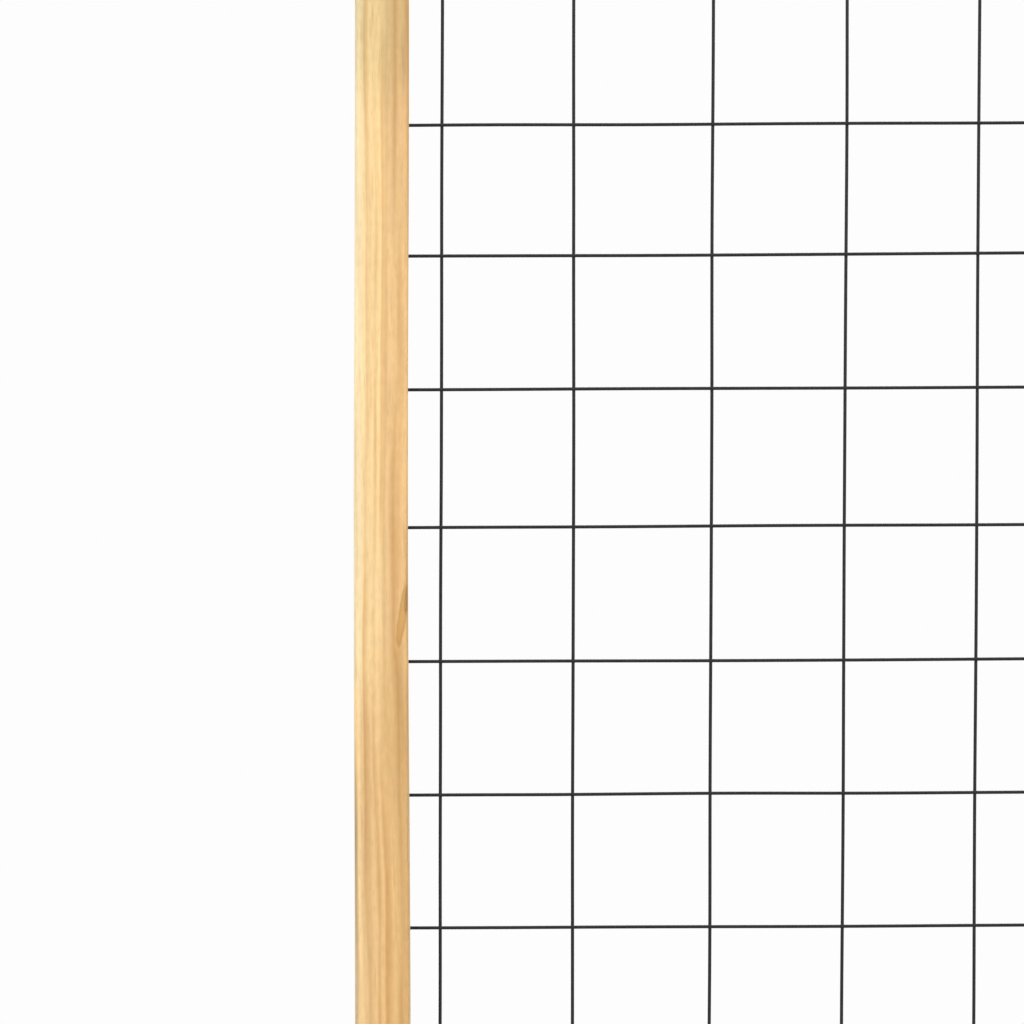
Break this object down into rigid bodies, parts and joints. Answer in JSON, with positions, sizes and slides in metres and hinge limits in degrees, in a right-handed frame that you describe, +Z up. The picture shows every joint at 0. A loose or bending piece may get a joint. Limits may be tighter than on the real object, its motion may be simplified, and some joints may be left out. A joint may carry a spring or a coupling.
{
  "type": "plant trellis panel",
  "caption": "Rectangular wooden plant trellis panel: a planed pine frame of stiles and rails around a square mesh of thin black welded wire.",
  "frame": {"origin": "middle of the panel's bottom edge, halfway through the timber's depth", "axes": "+X to the right seen from the front, +Y to the back where the mesh is stapled, +Z up along the stiles"},
  "size_m": [0.928, 0.04, 1.828],
  "materials": {
    "pine": "planed, matt",
    "beech": "turned, matt",
    "coated_wire": "black coating, satin",
    "zinc_plated_steel": "bright zinc",
    "galvanised_steel": "dull zinc"
  },
  "bodies": {
    "root": {"left_stile": "pine", "right_stile": "pine", "top_rail": "pine", "bottom_rail": "pine", "corner_dowels": "beech", "corner_screws": "zinc_plated_steel", "left_staples": "galvanised_steel", "right_staples": "galvanised_steel", "top_staples": "galvanised_steel", "bottom_staples": "galvanised_steel", "upright_wire_1": "coated_wire", "upright_wire_2": "coated_wire", "upright_wire_3": "coated_wire", "upright_wire_4": "coated_wire", "upright_wire_5": "coated_wire", "upright_wire_6": "coated_wire", "upright_wire_7": "coated_wire", "upright_wire_8": "coated_wire", "upright_wire_9": "coated_wire", "cross_wire_1": "coated_wire", "cross_wire_2": "coated_wire", "cross_wire_3": "coated_wire", "cross_wire_4": "coated_wire", "cross_wire_5": "coated_wire", "cross_wire_6": "coated_wire", "cross_wire_7": "coated_wire", "cross_wire_8": "coated_wire", "cross_wire_9": "coated_wire", "cross_wire_10": "coated_wire", "cross_wire_11": "coated_wire", "cross_wire_12": "coated_wire", "cross_wire_13": "coated_wire", "cross_wire_14": "coated_wire", "cross_wire_15": "coated_wire", "cross_wire_16": "coated_wire", "cross_wire_17": "coated_wire", "cross_wire_18": "coated_wire"}
  },
  "joints": []
}
